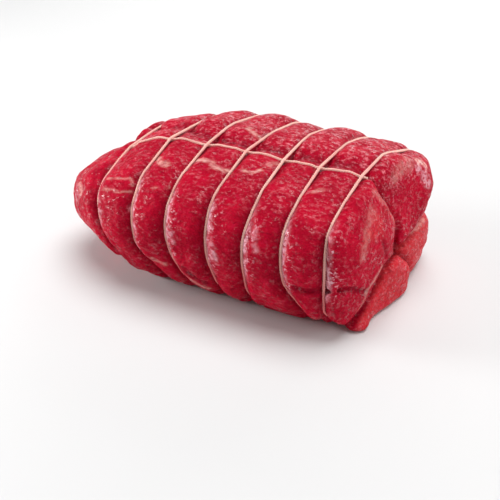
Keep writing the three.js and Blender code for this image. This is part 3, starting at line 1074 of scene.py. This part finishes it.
def loop_path(loop, under):
    """A taut loop: the hull of the meat's outline, lifted over the twine under it."""
    crossing = under[np.argmin(np.abs(from_loop(loop, under)))]
    lifted = crossing[1:] + [0, TWINE_RADIUS]
    path = evenly(hull(np.concatenate([outline(loop), [lifted]])), True)
    ahead = np.roll(path, -1, 0) - np.roll(path, 1, 0)
    outward = np.stack([ahead[:, 1], -ahead[:, 0]], -1)
    outward /= np.linalg.norm(outward, axis=1)[:, None]
    path = path + SUNK * TWINE_RADIUS * outward
    return loop_point(loop, path[:, 0], np.maximum(path[:, 1], TWINE_RADIUS))


def make_twines():
    material = twine_material()
    lengthwise = evenly(lengthwise_path(), False)
    make_twine("twine_lengthwise", lengthwise, False, "string_lengthwise", material)
    for number, loop in enumerate(LOOPS, 1):
        path = loop_path(loop, lengthwise)
        make_twine(f"twine_loop_{number}", path, True, f"string_loop_{number}", material)


# ---------------------------------------------------------------- floor, lights and camera

# Metres and degrees. The camera's come from the board that the joint lies on in the photograph.
CAMERA_AZIMUTH = 28.9
CAMERA_ELEVATION = 29.34
CAMERA_ROLL = -0.31
CAMERA_DISTANCE = 0.6276
CAMERA_TARGET = Vector((-0.0009, 0.0126, 0))
FIELD_OF_VIEW = 33.1

FLOOR_SIZE = 60
FLOOR_GAP = 0.0002
FLOOR_GREY = (0.68, 0.68, 0.68, 1)

SUN_STRENGTH = 2.75
SUN_SPREAD = 45  # wide, for soft shadows
SUN_TURN = (-8, 6, 0)
LIT = Vector((0, 0, 0.04))  # what the light cards face
CARDS = {  # their place, size and power
    "back_card": ((-0.1, 1.0, 0.5), (1.0, 0.5), 4),
    "left_card": ((-0.8, -0.35, 0.3), (0.35, 0.25), 6),
    "right_fill": ((0.85, 0.1, 0.45), (0.5, 0.4), 2.4),
}

# How bright the surroundings are, and up to or from which sine of the height above the horizon.
HORIZON, HORIZON_TO = 0.78, 0.08
OVERHEAD, OVERHEAD_FROM = 0.1, 0.4
WHITE = (1, 1, 1, 1)


def camera():
    data = bpy.data.cameras.new("camera")
    data.angle = math.radians(FIELD_OF_VIEW)
    eye = bpy.data.objects.new("camera", data)
    azimuth, elevation = math.radians(CAMERA_AZIMUTH), math.radians(CAMERA_ELEVATION)
    back = Vector((
        math.sin(azimuth) * math.cos(elevation),
        -math.cos(azimuth) * math.cos(elevation),
        math.sin(elevation),
    ))
    eye.location = CAMERA_TARGET + CAMERA_DISTANCE * back
    turn = (-back).to_track_quat("-Z", "Y").to_matrix()
    roll = Euler((0, 0, math.radians(CAMERA_ROLL))).to_matrix()
    eye.rotation_euler = (turn @ roll).to_euler()
    bpy.context.scene.collection.objects.link(eye)
    bpy.context.scene.camera = eye


def floor():
    bpy.ops.mesh.primitive_plane_add(size=FLOOR_SIZE, location=(0, 0, -FLOOR_GAP))
    plane = bpy.context.object
    plane.name = "floor"
    made = Shader("pale_floor")
    made.set(made.surface, {"Base Color": FLOOR_GREY, "Roughness": 0.8})
    plane.data.materials.append(made.material)


def surroundings():
    """Pale round the horizon, and darker overhead, where it would wash the meat out."""
    world = bpy.data.worlds.new("studio")
    world.use_nodes = True
    nodes, links = world.node_tree.nodes, world.node_tree.links
    way = nodes.new("ShaderNodeTexCoord")
    parts = nodes.new("ShaderNodeSeparateXYZ")
    strength = nodes.new("ShaderNodeMapRange")
    strength.inputs["From Min"].default_value = HORIZON_TO
    strength.inputs["From Max"].default_value = OVERHEAD_FROM
    strength.inputs["To Min"].default_value = HORIZON
    strength.inputs["To Max"].default_value = OVERHEAD
    links.new(way.outputs["Generated"], parts.inputs["Vector"])
    links.new(parts.outputs["Z"], strength.inputs["Value"])
    links.new(strength.outputs["Result"], nodes["Background"].inputs["Strength"])
    nodes["Background"].inputs["Color"].default_value = WHITE
    bpy.context.scene.world = world


def sun():
    data = bpy.data.lights.new("key", "SUN")
    data.energy = SUN_STRENGTH
    data.angle = math.radians(SUN_SPREAD)
    light = bpy.data.objects.new("key", data)
    light.rotation_euler = [math.radians(angle) for angle in SUN_TURN]
    bpy.context.scene.collection.objects.link(light)


def light_card(name, place, size, power):
    data = bpy.data.lights.new(name, "AREA")
    data.shape = "RECTANGLE"
    data.size, data.size_y = size
    data.energy = power
    light = bpy.data.objects.new(name, data)
    light.location = place
    light.rotation_euler = (LIT - Vector(place)).to_track_quat("-Z", "Y").to_euler()
    bpy.context.scene.collection.objects.link(light)


def studio():
    floor()
    surroundings()
    sun()
    for name, (place, size, power) in CARDS.items():
        light_card(name, place, size, power)
    bpy.context.scene.view_settings.view_transform = "Standard"


camera()
studio()
make_meat()
make_twines()
